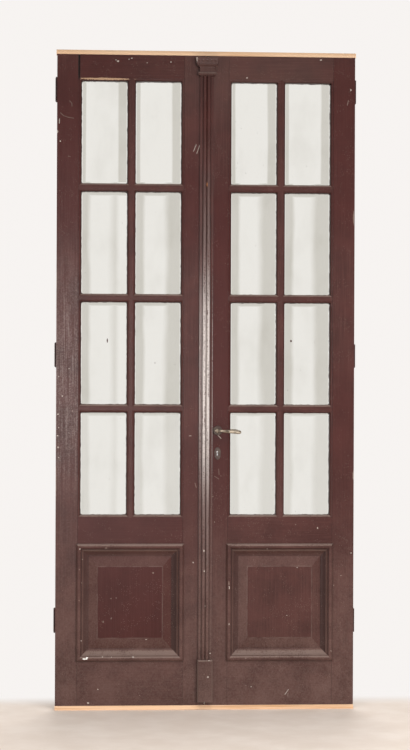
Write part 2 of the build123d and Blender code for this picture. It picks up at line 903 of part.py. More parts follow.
strike_x = leaf_width - strike_thick
strike_foot = dead_foot - strike_margin
strike_head = latch_foot + latch_head + strike_margin
strike_heights = (strike_foot + forend_screw_inset, strike_head - forend_screw_inset)


def strike_cuts():
    """What is cut out of the left meeting stile for the strike, the two pockets and the screws."""
    half = forend_width / 2
    latch_end = leaf_width - latch_throw - pocket_clear + meeting_gap
    dead_end = leaf_width - dead_bolt_throw - pocket_clear + meeting_gap
    return [
        block((strike_x, leaf_width), (-half, half), (strike_foot, strike_head)),
        block((latch_end, strike_x), *latch_window(pocket_clear)),
        block((dead_end, strike_x), *dead_window(pocket_clear)),
        *[edge_screw(height, screw_clear) for height in strike_heights],
    ]


def strike_plate():
    """The plate that the latch and the dead bolt enter."""
    half = forend_width / 2
    across = (strike_x, leaf_width)
    plate = block(across, (-half, half), (strike_foot, strike_head))
    plate -= [block(across, *latch_window(pocket_clear)), block(across, *dead_window(pocket_clear))]
    return plate - [edge_screw(height, screw_clear) for height in strike_heights]


def strike_screws():
    """The two screws of the strike plate."""
    return solids(*[edge_screw(height, 0) for height in strike_heights])


def bolt_plate(low, high, staples):
    """A long plate on the back of the leaf with the staples that guide the rod."""
    half = bolt_plate_width / 2
    face = back + bolt_plate_thick
    plate = block((rod_x - half, rod_x + half), (back, face), (low, high))
    crown = rod_y + rod_radius + staple_wall
    wide = staple_width / 2
    for height in staples:
        rise = (height - staple_height / 2, height + staple_height / 2)
        plate += block((rod_x - wide, rod_x + wide), (face, crown), rise)
    return plate - rod(rod_radius + shaft_clear, (rod_x, rod_y, low), (rod_x, rod_y, high), "z")


def bolt_rod(low, high, knob):
    """A round bolt with a knob to move it by."""
    end = rod_y + rod_radius + knob_length
    stem = rod(knob_radius, (rod_x, rod_y, knob), (rod_x, end, knob), "y")
    bar = rod(rod_radius, (rod_x, rod_y, low), (rod_x, rod_y, high), "z")
    return bar + stem + Pos(rod_x, end, knob) * Sphere(knob_ball_radius)


top_rod_head = leaf_height - rod_end_inset
top_rod_foot = top_rod_head - top_rod_length
bottom_rod_foot = rod_end_inset
bottom_rod_head = bottom_rod_foot + bottom_rod_length
top_plate = (top_rod_foot + bolt_plate_inset, top_rod_head - bolt_plate_inset)
bottom_plate = (bottom_rod_foot + bolt_plate_inset, bottom_rod_head - bolt_plate_inset)
top_knob = top_rod_foot + knob_from_end
bottom_knob = bottom_rod_head - knob_from_end


def staple_heights(plate):
    """Three staples: one near each end of a plate and one between."""
    low = plate[0] + staple_height
    high = plate[1] - staple_height
    return [low, (low + high) / 2, high]


def bolt_screw_blank(plate, clear):
    """The two screws of a bolt plate, driven from behind into the stile."""
    turned = Rot(0, 0, -90) * countersink(0, 1, clear, bolt_screw_length)
    side = rod_x - bolt_plate_width / 2 + bolt_screw_inset
    low, high = plate[0] + 2 * staple_height, plate[1] - 2 * staple_height
    return [Pos(side, back + bolt_plate_thick, height) * turned for height in (low, high)]


# Battens

def batten(length, low):
    """A sawn pine batten with its sharp edges taken off."""
    body = Pos(0, 0, low + batten_height / 2) * Box(length, batten_depth, batten_height)
    return chamfer(body.edges().filter_by(Axis.X), batten_arris)


# Placing and writing

def on_left(shape):
    """A piece of a leaf in its place on the left."""
    return Pos(-half_width, 0, leaf_foot) * shape


def on_right(shape):
    """A piece of a leaf in its place on the right, as the mirror image of the left."""
    return Pos(half_width, 0, leaf_foot) * mirror(shape, Plane.YZ)


def over_meeting(shape):
    """A piece that is drawn about the meeting line, in its place."""
    return Pos(0, 0, leaf_foot) * shape


nodes = {
    "head_batten": batten(2 * (half_width + head_overhang), leaf_foot + leaf_height + running_gap),
    "sill_batten": batten(2 * (half_width + sill_overhang), 0),
}

shared_pieces = {
    "hinge_stile": hinge_stile(),
    "top_rail": top_rail(),
    "lock_rail": lock_rail(),
    "bottom_rail": bottom_rail(),
    "upright_bar": upright_bar(),
    "cross_bars": cross_bars(),
    "glass": panes(),
    "putty": putty(),
    "panel": panel(),
    "panel_moulding": panel_moulding(),
    "back_bead": back_bead(),
    "leaf_flaps": leaf_flaps(),
    "frame_flaps": frame_flaps(),
    "hinge_pins": hinge_pins(),
    "hinge_screws": hinge_screws(),
}
for name, piece in shared_pieces.items():
    nodes["left_" + name] = on_left(piece)
    nodes["right_" + name] = on_right(piece)
nodes["left_top_rail"] = on_left(shared_pieces["top_rail"] - open_shoulder())

bolt_screw_cuts = bolt_screw_blank(top_plate, screw_clear) + bolt_screw_blank(bottom_plate, screw_clear)
bolt_screw_forms = bolt_screw_blank(top_plate, 0) + bolt_screw_blank(bottom_plate, 0)
left_pieces = {
    "left_meeting_stile": meeting_stile(strike_cuts() + bolt_screw_cuts),
    "strike_plate": strike_plate(),
    "strike_screws": strike_screws(),
    "top_bolt_plate": bolt_plate(*top_plate, staple_heights(top_plate)) - bolt_screw_cuts,
    "top_bolt_rod": bolt_rod(top_rod_foot, top_rod_head, top_knob),
    "bottom_bolt_plate": bolt_plate(*bottom_plate, staple_heights(bottom_plate)) - bolt_screw_cuts,
    "bottom_bolt_rod": bolt_rod(bottom_rod_foot, bottom_rod_head, bottom_knob),
    "bolt_screws": solids(*bolt_screw_forms),
}
for name, piece in left_pieces.items():
    nodes[name] = on_left(piece)

right_pieces = {
    "right_meeting_stile": meeting_stile(lock_cuts()),
    "lock_case": lock_case(),
    "lock_forend": lock_forend(),
    "forend_screws": forend_screws(),
    "latch_bolt": latch_bolt(),
    "dead_bolt": dead_bolt(),
    "follower": follower(),
    "spindle": spindle(),
    "front_lever": front_lever(),
    "back_lever": behind(front_lever()),
    "front_rose": front_rose(),
    "back_rose": behind(front_rose()),
    "front_escutcheon": front_escutcheon(),
    "back_escutcheon": behind(front_escutcheon()),
}
for name, piece in right_pieces.items():
    nodes[name] = on_right(piece)

nodes["astragal"] = over_meeting(astragal())
nodes["capital"] = over_meeting(capital())
nodes["base_block"] = over_meeting(base_block())

os.makedirs("parts", exist_ok=True)
for name, piece in nodes.items():
    export_step(piece, os.path.join("parts", name + ".step"))
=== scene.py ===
import json
import math

import bpy
import numpy as np
from mathutils import Matrix, Vector


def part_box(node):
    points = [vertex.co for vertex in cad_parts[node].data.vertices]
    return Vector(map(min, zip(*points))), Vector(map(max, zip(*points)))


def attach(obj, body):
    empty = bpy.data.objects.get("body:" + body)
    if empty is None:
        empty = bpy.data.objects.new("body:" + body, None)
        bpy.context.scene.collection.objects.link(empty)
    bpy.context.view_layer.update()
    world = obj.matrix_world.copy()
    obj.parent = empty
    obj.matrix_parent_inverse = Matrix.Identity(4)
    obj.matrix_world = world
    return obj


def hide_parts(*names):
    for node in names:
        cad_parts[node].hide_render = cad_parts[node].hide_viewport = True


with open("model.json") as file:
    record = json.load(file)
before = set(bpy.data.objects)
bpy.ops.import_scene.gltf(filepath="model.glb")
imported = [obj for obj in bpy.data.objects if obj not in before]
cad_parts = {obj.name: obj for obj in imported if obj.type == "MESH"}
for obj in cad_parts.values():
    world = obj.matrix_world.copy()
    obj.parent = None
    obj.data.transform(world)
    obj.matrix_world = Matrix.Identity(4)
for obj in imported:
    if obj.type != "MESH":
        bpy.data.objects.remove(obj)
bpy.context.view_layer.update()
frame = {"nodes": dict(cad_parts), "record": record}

nodes = frame["nodes"]
MM = 0.001

# Sizes read from the frame, in metres
hinge_edge = abs(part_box("left_hinge_stile")[0].x)
meeting_edge = abs(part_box("left_meeting_stile")[1].x)
glass_low, glass_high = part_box("right_glass")
leaf_middle = (hinge_edge + meeting_edge) / 2
head_middle = (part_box("head_batten")[0].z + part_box("head_batten")[1].z) / 2
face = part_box("left_hinge_stile")[0].y
astragal_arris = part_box("astragal")[1].x

# Joinery, wear and painted light that the finishes follow, in metres, and the usual share of the pale haze
# near the floor, which is dusty and painted light together
stile_face = 84 * MM
outer_joint = hinge_edge - stile_face
inner_joint = meeting_edge + stile_face
outer_seam, inner_seam = 0.7 * MM, 0.6 * MM
glass_in_rebate = 6.5 * MM
lowest_glass = glass_low.z - 20 * MM
bar_width = 32.5 * MM
pane_columns, pane_rows = 2, 4
moulding_quirk, hollow_edge = 20 * MM, 26 * MM
mitre_slack = 0.5 * MM
field_side, field_end = 86.5 * MM, 92.5 * MM
# Height of the rubbing and of the painted sheen that goes with it
hand_and_sheen_height = 1.27
lever_neck = 49 * MM
scratch_width, scratch_depth = 3 * MM, 4 * MM
haze_gone, haze_whole = 1.15, -0.1
usual_haze = 0.42


def metres(millimetres):
    """A place or a size in metres, from one in millimetres."""
    return [value * MM for value in millimetres]


class Wire:
    """One output of a shader node. Sums and products of wires and numbers add Math nodes."""

    def __init__(self, drawing, socket):
        self.drawing = drawing
        self.socket = socket

    def beside(self, output):
        """Another output of the same node."""
        return Wire(self.drawing, self.socket.node.outputs[output])

    def maths(self, operation, *values):
        return self.drawing.node("Math", {"operation": operation}, dict(enumerate(values)))

    def modulo(self, step):
        return self.maths("FLOORED_MODULO", self, step)

    def __add__(self, other):
        return self.maths("ADD", self, other)

    def __sub__(self, other):
        return self.maths("SUBTRACT", self, other)

    def __rsub__(self, other):
        return self.maths("SUBTRACT", other, self)

    def __mul__(self, other):
        return self.maths("MULTIPLY", self, other)

    def __truediv__(self, other):
        return self.maths("DIVIDE", self, other)

    def __pow__(self, other):
        return self.maths("POWER", self, other)

    def __abs__(self):
        return self.maths("ABSOLUTE", self)

    def __lt__(self, other):
        return self.maths("LESS_THAN", self, other)

    def __gt__(self, other):
        return self.maths("GREATER_THAN", self, other)

    def most(self, other):
        return self.maths("MAXIMUM", self, other)

    def least(self, other):
        return self.maths("MINIMUM", self, other)

    __radd__ = __add__
    __rmul__ = __mul__


class Drawing:
    """A node tree while it is drawn, of a material or of the world, and its output node."""

    def __init__(self, owner, output):
        owner.use_nodes = True
        self.tree = owner.node_tree
        self.output = self.tree.nodes[output]

    def node(self, kind, settings=None, sockets=None, output=0):
        """Any node: its type, then its settings, then the values or links of its sockets."""
        made = self.tree.nodes.new("ShaderNode" + kind)
        for name, value in (settings or {}).items():
            if name == "stops":
                self.set_stops(made.color_ramp, value)
            else:
                setattr(made, name, value)
        for key, value in (sockets or {}).items():
            self.feed(made.inputs[key], value)
        return Wire(self, made.outputs[output])

    def set_stops(self, ramp, stops):
        """Stops of a colour ramp as (position, colour) pairs."""
        while len(ramp.elements) < len(stops):
            ramp.elements.new(1.0)
        for element, (position, colour) in zip(ramp.elements, stops):
            element.position = position
            element.color = (*colour, 1.0)

    def feed(self, socket, value):
        """Links a wire to a socket, or sets the socket's own value."""
        if isinstance(value, Wire):
            self.tree.links.new(value.socket, socket)
        else:
            socket.default_value = value

    def split(self, vector):
        """The three numbers of a vector."""
        first = self.node("SeparateXYZ", None, {0: vector})
        return first, first.beside(1), first.beside(2)

    def background(self):
        """1 for rays that should see the plain background, 0 for the rest."""
        camera = self.node("LightPath", output="Is Camera Ray")
        return camera.most(camera.beside("Is Transmission Ray")).most(camera.beside("Is Glossy Ray"))

    def end_in_mix(self, factor, first, second):
        """Ends the tree in a mix of two shaders."""
        self.feed(self.output.inputs[0], self.node("MixShader", None, {0: factor, 1: first, 2: second}))


class Finish(Drawing):
    """A material while it is drawn: its tree, its shader and the nodes that feed it."""

    def __init__(self, name, **constants):
        self.material = bpy.data.materials.new(name)
        super().__init__(self.material, "Material Output")
        self.shader = self.tree.nodes["Principled BSDF"]
        self.surface = Wire(self, self.shader.outputs[0])
        self.finish(**constants)
        self.place = self.node("TexCoord", output="Object")

    def noise(self, per_metre, detail=3.0, roughness=0.55, distortion=0.0):
        """Noise from 0 to 1, by its waves per metre: one number, or one for each axis."""
        waves = per_metre if isinstance(per_metre, tuple) else (per_metre,) * 3
        scaled = self.node("VectorMath", {"operation": "MULTIPLY"}, {0: self.place, 1: waves})
        sockets = {"Vector": scaled, "Scale": 1.0, "Detail": detail, "Roughness": roughness}
        return self.node("TexNoise", None, {**sockets, "Distortion": distortion})

    def cells(self, per_metre):
        """Distance to the nearest of many scattered points, in cells."""
        return self.node("TexVoronoi", {"feature": "F1"}, {"Vector": self.place, "Scale": per_metre})

    def ease(self, value, low, high):
        """0 below low, 1 above high, and a smooth step between them."""
        settings = {"interpolation_type": "SMOOTHSTEP"}
        return self.node("MapRange", settings, {"Value": value, "From Min": low, "From Max": high})

    def blend(self, factor, first, second):
        """A colour that goes from the first to the second as the factor goes from 0 to 1."""
        first = first if isinstance(first, Wire) else (*first, 1.0)
        second = second if isinstance(second, Wire) else (*second, 1.0)
        return self.node("Mix", {"data_type": "RGBA"}, {"Factor": factor, 6: first, 7: second}, output=2)

    def spot(self, centre, radii, ragged):
        """1 inside an ellipsoid at a place, 0 outside it; ragged is added to the distance."""
        shift = self.node("VectorMath", {"operation": "SUBTRACT"}, {0: self.place, 1: centre})
        sized = self.node("VectorMath", {"operation": "DIVIDE"}, {0: shift, 1: radii})
        distance = self.node("VectorMath", {"operation": "LENGTH"}, {0: sized}, output="Value")
        return distance + ragged < 1.0

    def scratch(self, start, end, width, ragged):
        """1 within half a width of the line from start to end, seen along y; both are (x, z)."""
        x, _, z = self.split(self.place)
        run, rise = end[0] - start[0], end[1] - start[1]
        x, z = x - start[0], z - start[1]
        along = ((x * run + z * rise) / (run * run + rise * rise)).most(0.0).least(1.0)
        away = ((x - along * run) ** 2 + (z - along * rise) ** 2) ** 0.5
        return away + 0.5 * width * ragged < 0.5 * width

    def bump(self, height):
        """A bent normal from a height in metres."""
        return self.node("Bump", None, {"Height": height, "Distance": 1.0, "Strength": 1.0})

    def finish(self, **inputs):
        """Feeds the shader's own sockets and gives back the material."""
        for socket, value in inputs.items():
            self.feed(self.shader.inputs[socket.replace("_", " ")], value)
        return self.material


# Colours, as linear red, green and blue
oxblood = (0.068, 0.0190, 0.0155)
oxblood_deep = (0.045, 0.0125, 0.0100)
oxblood_worn = (0.100, 0.0390, 0.0325)
deep_red = (0.045, 0.0020, 0.0010)
# A dark used as painted shade, in the quirks and hollows of the mouldings and round the panes
painted_shade = (0.020, 0.0075, 0.0065)
# Dusty grey-brown, also used as a painted sheen and as painted highlights
dust_and_sheen = (0.225, 0.162, 0.138)
dust_pale = (0.420, 0.360, 0.320)
# Pale rubbed paint, which also serves as a painted sheen
chalky_sheen = (0.650, 0.592, 0.562)
faint = (0.150, 0.100, 0.086)
primer = (0.500, 0.430, 0.380)
chip_white = (0.86, 0.84, 0.80)
chip_grey = (0.34, 0.27, 0.24)
chip_orange = (0.66, 0.30, 0.12)
bare_wood = (0.46, 0.30, 0.19)
joint_dark = (0.010, 0.006, 0.005)
glass_clear = (0.880, 0.888, 0.855)
# Grey of the glass clouds and of the painted shadows of the bars
glass_grey_and_shadow = (0.62, 0.615, 0.565)

# Marks on the paint, by node: middle (x, y, z) and half sizes in millimetres, and tone
marks = {
    "left_top_rail": [
        ((-396, -15, 2425), (112, 9, 4.4), bare_wood), ((-489.5, -21, 2475), (2.4, 5, 60), joint_dark),
        ((-342, -21, 2493), (3.6, 4, 3.4), primer), ((-350, -21, 2498), (2.6, 4, 1.6), primer),
        ((-289, -21, 2505), (3, 4, 2), primer), ((-300, -21, 2501), (2, 4, 2), primer),
        ((-139, -21, 2492), (2.2, 4, 2.2), primer), ((-230, -21, 2488), (1.6, 4, 1.6), primer),
    ],
    "left_hinge_stile": [
        ((-562, -21, 2183), (2.6, 4, 2.4), primer), ((-492.5, -21, 2475), (2.0, 5, 60), joint_dark),
        ((-566, -21, 2260), (1.6, 4, 9), dust_pale), ((-573, -21, 2220), (2.6, 4, 6), dust_pale),
        ((-574, -21, 880), (2, 4, 60), dust_and_sheen), ((-574, -21, 1650), (1.6, 4, 34), dust_and_sheen),
        ((-565, -21, 1280), (2.2, 4, 2.4), dust_pale), ((-567, -21, 1136), (2.6, 4, 2.2), primer),
        ((-564, -21, 1084), (2.4, 4, 2.6), dust_pale), ((-569, -21, 1053), (2.6, 4, 2.4), primer),
        ((-566, -21, 1009), (2.2, 4, 3.2), dust_pale), ((-564, -21, 970), (2.2, 4, 2.4), dust_pale),
        ((-525, -21, 1311), (1.8, 4, 3.0), dust_pale), ((-551, -21, 1205), (2.2, 4, 3.6), dust_pale),
        ((-512, -21, 1148), (2.0, 4, 4.0), dust_and_sheen),
    ],
    "left_meeting_stile": [
        ((-46, -21, 566), (2.6, 4, 2.6), dust_pale),
    ],
    "left_bottom_rail": [
        ((-448, -21, 28), (3.6, 4, 3.2), primer), ((-410, -21, 80), (2.2, 4, 2.0), primer),
        ((-330, -21, 100), (1.6, 4, 1.6), dust_and_sheen), ((-250, -21, 56), (1.6, 4, 1.6), dust_and_sheen),
    ],
    "left_panel": [
        ((-200, -16, 526), (3.2, 4, 2.6), dust_and_sheen), ((-226, -16, 270), (4, 4, 2.4), dust_pale),
        ((-361, -16, 428), (2.6, 4, 2.2), faint), ((-341, -16, 430), (2.6, 4, 2.6), faint),
        ((-391, -16, 338), (3.0, 4, 4.0), faint), ((-360, -16, 352), (2.4, 4, 4.0), faint),
    ],
    "left_panel_moulding": [
        ((-462, -30, 198), (9, 12, 2.8), chip_white), ((-452, -30, 203), (4, 12, 3), chip_white),
        ((-481, -30, 620), (3, 12, 2.5), dust_pale), ((-381, -30, 623), (5, 12, 2), dust_and_sheen),
        ((-276, -30, 205), (4, 12, 3), dust_pale), ((-393, -30, 206), (2.6, 12, 2.4), dust_pale),
        ((-359, -30, 205), (2, 12, 1.8), dust_pale), ((-474, -30, 267), (2.2, 12, 3.4), dust_pale),
        ((-471, -30, 579), (2, 12, 2.4), dust_pale), ((-473, -30, 490), (2, 12, 2.6), dust_and_sheen),
        ((-483, -30, 541), (2, 12, 2.6), dust_and_sheen), ((-483, -30, 422), (2.2, 12, 2.4), dust_and_sheen),
    ],
    "astragal": [
        ((1, -38, 2022), (2.2, 6, 9), chip_orange), ((-25, -32, 1392), (2, 6, 5), primer),
        ((-5, -38, 613), (3.2, 6, 3.6), primer), ((-3, -38, 534), (3.0, 6, 3.0), primer),
        ((0, -38, 400), (2, 6, 4), dust_pale), ((20, -33, 218), (2.2, 6, 3), primer),
    ],
    "capital": [
        ((-41, -46, 2502), (5, 12, 12), chip_grey),
    ],
    "base_block": [
        ((11, -47, 129), (3.2, 4, 3.4), dust_pale), ((15, -47, 192), (3, 6, 2.6), dust_pale),
        ((-4, -47, 140), (1.6, 4, 1.6), dust_and_sheen),
    ],
    "right_top_rail": [
        ((155, -21, 2435), (3, 4, 2), primer), ((442, -21, 2508), (4, 4, 2.4), primer),
    ],
    "right_hinge_stile": [
        ((559, -21, 2393), (2.6, 4, 3.2), primer), ((571, -21, 1900), (2, 4, 26), dust_and_sheen),
        ((573, -21, 900), (2, 4, 18), dust_and_sheen), ((566, -21, 602), (2, 4, 2.5), dust_pale),
        ((527, -21, 515), (4, 4, 1.4), dust_and_sheen), ((499, -21, 477), (2, 4, 3), dust_and_sheen),
    ],
    "right_lock_rail": [
        ((435, -21, 699), (2, 4, 3), dust_pale), ((350, -21, 712), (1.6, 4, 1.6), dust_and_sheen),
    ],
    "right_panel": [
        ((318, -16, 361), (1.8, 4, 1.6), dust_pale), ((357, -16, 546), (2, 4, 1.6), dust_pale),
    ],
    "right_panel_moulding": [
        ((92, -30, 488), (2.2, 12, 8), dust_and_sheen), ((93, -30, 330), (2.2, 12, 3), dust_pale),
        ((240, -30, 619), (4, 12, 2.2), dust_and_sheen), ((276, -30, 205), (4, 12, 2), dust_and_sheen),
        ((158, -30, 198), (3, 12, 2.2), dust_and_sheen), ((175, -30, 198), (3, 12, 1.8), faint),
        ((488, -30, 225), (2.4, 12, 3.4), dust_and_sheen), ((93, -30, 471), (2.2, 12, 6), dust_pale),
    ],
    "right_bottom_rail": [
        ((180, -21, 87), (2, 4, 2), dust_pale), ((160, -21, 92), (1.6, 4, 1.6), dust_and_sheen),
    ],
    "right_meeting_stile": [
        ((60, -21, 900), (1.8, 4, 1.8), dust_and_sheen), ((29, -21, 820), (1.8, 4, 1.8), dust_and_sheen),
        ((36, -21, 722), (1.8, 4, 1.8), dust_and_sheen),
    ],
}

# Spots of paint on the glass: middle and half sizes in millimetres
glass_spots = [
    ((332, 0, 1421), (3.4, 40, 4.6)), ((-379, 0, 1420), (2.3, 40, 8.0)), ((-195, 0, 1334), (4.0, 40, 0.9)),
]

# Scratches on the paint, by node: both ends (x, z) in millimetres, and tone
scratches = {
    "left_meeting_stile": [
        ((-50, 2150), (-40, 2175), dust_pale), ((-38, 2142), (-27, 2172), dust_pale),
        ((-62, 1054), (-56, 1054), dust_pale), ((-40, 872), (-35, 856), dust_and_sheen),
    ],
    "left_hinge_stile": [
        ((-562, 2292), (-550, 2281), faint), ((-550, 2281), (-532, 2275), faint),
        ((-532, 2275), (-512, 2272), faint), ((-527, 2338), (-519, 2330), faint),
        ((-519, 2330), (-518, 2318), faint), ((-531, 2126), (-524, 2124), faint),
    ],
    "right_hinge_stile": [
        ((549, 2352), (545, 2335), dust_and_sheen), ((556, 2398), (557, 2388), dust_and_sheen),
    ],
    "right_bottom_rail": [((311, 57), (324, 75), dust_pale), ((322, 50), (323, 62), dust_and_sheen)],
    "right_meeting_stile": [
        ((48, 1056), (60, 1044), dust_pale), ((36, 898), (52, 888), faint), ((51, 926), (53, 905), faint),
    ],
}


def from_edges(f, low, high):
    """How far a point lies inside the sides of a node's box, and inside its ends."""
    x, _, z = f.split(f.place)
    return (x - low.x).least(high.x - x), (z - low.z).least(high.z - z)


def moulding_wear_and_light(f, colour, low, high):
    """Painted shade in the quirk and down the hollow of a panel moulding, most at the right, away from the
    light, and least at the foot; paint worn pale along the edge beside the quirk, paler at the head as a
    painted highlight; and the outer arrises worn pale."""
    beside, from_ends = from_edges(f, low, high)
    inside = beside.least(from_ends)
    x, _, z = f.split(f.place)
    at_foot = z - low.z < inside + mitre_slack
    at_right = high.x - x < inside + mitre_slack
    at_head = high.z - z < inside + mitre_slack
    # Painted shade in the quirk, less at the foot, which faces up into the light
    quirk = f.ease(abs(inside - moulding_quirk), 3 * MM, 0.5 * MM)
    colour = f.blend(quirk * (0.70 - 0.6 * at_foot), colour, painted_shade)
    # Paler edge beside the quirk: wear, with a painted highlight added at the head
    edge = f.ease(abs(inside - hollow_edge), 4.5 * MM, 2 * MM)
    colour = f.blend(edge * (0.16 + 0.34 * at_head), colour, dust_and_sheen)
    # Painted shade down the hollow, most at the right, which faces away from the light
    hollow = f.ease(inside, hollow_edge + 1 * MM, hollow_edge + (4 + 8 * at_head) * MM)
    hollow_shade = (0.42 + 0.30 * at_right - 0.42 * at_foot - 0.12 * at_head).most(0.0)
    colour = f.blend(hollow * hollow_shade, colour, painted_shade)
    return pale_arris(f, colour, low, high)


def pale_arris(f, colour, low, high, breadth=5 * MM, share=0.30):
    """Arrises of a node's outline worn pale over a breadth."""
    beside, from_ends = from_edges(f, low, high)
    ragged = 5 * MM * f.noise(170.0)
    return f.blend(f.ease(beside.least(from_ends) + ragged, breadth, 0.4 * breadth) * share, colour, dust_and_sheen)


def block_wear_and_highlight(f, colour, low, high):
    """Arrises of the base block, worn paler and wider than the rest, which is also a painted highlight on its
    chamfers.
    """
    return pale_arris(f, colour, low, high, 8 * MM, 0.42)


def field_wear(f, colour, low, high):
    """The raised arris round the field of a panel, worn pale."""
    beside, from_ends = from_edges(f, low, high)
    step = (beside - field_side).least(from_ends - field_end)
    patchy = f.ease(f.noise(25.0, detail=4.0), 0.30, 0.65)
    return f.blend(f.ease(abs(step), 3 * MM, 1 * MM) * patchy * 0.30, colour, dust_and_sheen)


def rub_pale_and_sheen(f, colour, brush, peel, strength, levels, heights, crest, arris):
    """Paint that hands have rubbed pale, in streaks along the brush lines, which stands in for a painted
    sheen as well.

    levels are where the streaks begin and are full. heights are how far from hand_and_sheen_height the
    rubbing and sheen have faded and are whole, beside a weaker one that reaches twice as far. crest is the y
    where it begins and the y where it is full. It is less on the arrises, at +arris and -arris, and on the
    strip beside the left one.
    """
    x, y, z = f.split(f.place)
    grit = f.noise(300.0, detail=2.0)
    worn = f.ease(y, *crest).most(f.ease(abs(x), arris - 3 * MM, arris) * 0.6)
    worn = worn.most(f.ease(x, 12 * MM - arris, 9 * MM - arris) * 0.30)
    faded, whole = heights
    off_hand = abs(z - hand_and_sheen_height)
    reach = 0.76 * f.ease(off_hand, faded, whole) + 0.24 * f.ease(off_hand, 2 * faded, whole)
    streaks = f.ease(0.9 * brush + 0.5 * peel + 0.6 * grit, *levels)
    return f.blend(reach * worn * streaks * strength, colour, chalky_sheen)


def old_paint(
        name, grain, haze=usual_haze, bevels=0.0, casts=(), rubbed=None, wear=None, lines=(), spots=()):
    """Old half-gloss paint: brush lines along the grain, blotches, a pale film on ledges and low down that is
    dusty and painted light together, painted shade in the sunk part round the panes, fine chips, dark joint
    lines, then the scratches and marks of the node.

    haze is how much of the film lies near the floor, and bevels how much lies on the bevels of a panel, where
    it is dusty and a painted highlight on those facing down and left. Each of casts gives a colour, its
    share, and the axis and centre that it spreads from, with the distances where it has faded and is whole;
    some of them are painted shade and painted sheen, as said at cast_nodes. rubbed, where given, holds the
    values for rub_pale_and_sheen, and wear one of the functions above with the node's box, which also paint
    shade and highlights on the mouldings and the base block. lines are scratches and spots are marks.
    """
    f = Finish(name, Specular_IOR_Level=0.25)
    x, y, z = f.split(f.place)
    sideways, outward, upward = f.split(f.node("NewGeometry", output="Normal"))
    along = {"x": (5.0, 240.0, 240.0), "z": (240.0, 240.0, 5.0)}[grain]
    brush = f.noise(along, detail=4.0)
    mottle = f.noise(7.0, detail=6.0, roughness=0.65)
    peel = f.noise(170.0)
    ragged = f.noise(260.0) * 1.6 - 0.8
    tone = f.blend(f.ease(mottle, 0.34, 0.66), oxblood_deep, oxblood)
    tone = f.blend(f.ease(brush, 0.42, 0.72) * 0.40, tone, oxblood_worn)
    for shade, share, (axis, centre, faded, whole) in casts:
        off_centre = abs({"x": x, "z": z}[axis] - centre)
        tone = f.blend(f.ease(off_centre, faded, whole) * share, tone, shade)
    # Painted shade in the sunk part round the panes, above the lowest glass
    recess_shade = f.ease(y, face + 1 * MM, face + 6 * MM) * f.ease(y, glass_high.y, glass_low.y)
    tone = f.blend(recess_shade * (z > lowest_glass) * 0.55, tone, painted_shade)
    # Pale film, dusty and painted light together: lighter low down and on the tops of things
    low_haze = f.ease(z, haze_gone, haze_whole) * haze
    # On panel bevels: dusty on every slope, and a painted highlight on those facing down and left
    bevel_dust_and_highlight = f.ease(abs(outward), 0.995, 0.97) * 0.5 + f.ease(upward, -0.02, -0.12) * 0.7
    bevel_dust_and_highlight = bevel_dust_and_highlight + f.ease(sideways, -0.02, -0.12) * 0.5
    ledge_dust_and_light = f.ease(upward, 0.08, 0.50) * 1.4 + bevel_dust_and_highlight * bevels
    film = ((low_haze + ledge_dust_and_light) * f.ease(peel + mottle, 0.4, 1.5)).least(0.8)
    colour = f.blend(film, tone, dust_and_sheen)
    if rubbed:
        colour = rub_pale_and_sheen(f, colour, brush, peel, **rubbed)
    if wear:
        colour = wear[0](f, colour, *wear[1])
    across = abs(x)
    seam = (abs(across - outer_joint) < outer_seam).most(abs(across - inner_joint) < inner_seam)
    colour = f.blend(seam * 0.45, colour, joint_dark)
    patchy = f.noise(22.0)
    specks = (f.cells(170.0) < 0.20) * (patchy > 0.55)
    colour = f.blend(specks * 0.42, colour, dust_and_sheen)
    gone = specks * 0.5
    for start, end, shade in lines:
        mark = f.scratch(metres(start), metres(end), scratch_width, ragged) * (y < face + scratch_depth)
        colour = f.blend(mark * 0.8, colour, shade)
        gone = gone.most(mark)
    for centre, half, shade in spots:
        mark = f.spot(metres(centre), metres(half), ragged)
        colour = f.blend(mark, colour, shade)
        gone = gone.most(mark)
    rough = 0.23 + 0.10 * brush + 0.06 * peel + 0.5 * film + 0.3 * gone
    height = 0.00014 * brush + 0.00030 * peel + 0.0004 * mottle - 0.00025 * gone - 0.0006 * seam
    return f.finish(Base_Color=colour, Roughness=rough, Normal=f.bump(height))


def raw_pine(name):
    """Sawn pine: long growth rings, darker late wood, knots and saw fuzz, and painted shade that makes it
    browner above head_middle, so the lower half reads as lit.
    """
    f = Finish(name)
    rings = f.noise((1.3, 55.0, 75.0), detail=5.0, distortion=0.4)
    fuzz = f.noise((30.0, 700.0, 700.0), detail=2.0)
    wide = f.noise((2.0, 9.0, 9.0), detail=2.0)
    stops = [(0.25, (0.80, 0.50, 0.30)), (0.5, (0.88, 0.60, 0.39)), (0.68, (0.56, 0.29, 0.13))]
    grain = f.node("ValToRGB", {"stops": stops}, {0: rings})
    colour = f.blend(f.ease(wide, 0.45, 0.75) * 0.35, grain, (0.86, 0.66, 0.48))
    _, _, z = f.split(f.place)
    # Painted shade on the upper half of the head batten
    upper_shade = f.ease(z, head_middle - 2 * MM, head_middle + 3 * MM)
    colour = f.blend(upper_shade * 0.42, colour, (0.56, 0.36, 0.21))
    knot = f.cells(2.6) < 0.022
    colour = f.blend(knot, colour, (0.22, 0.10, 0.045))
    height = 0.6 * fuzz + 0.4 * rings
    return f.finish(Base_Color=colour, Roughness=0.62 + 0.2 * fuzz, Normal=f.bump(0.0003 * height))


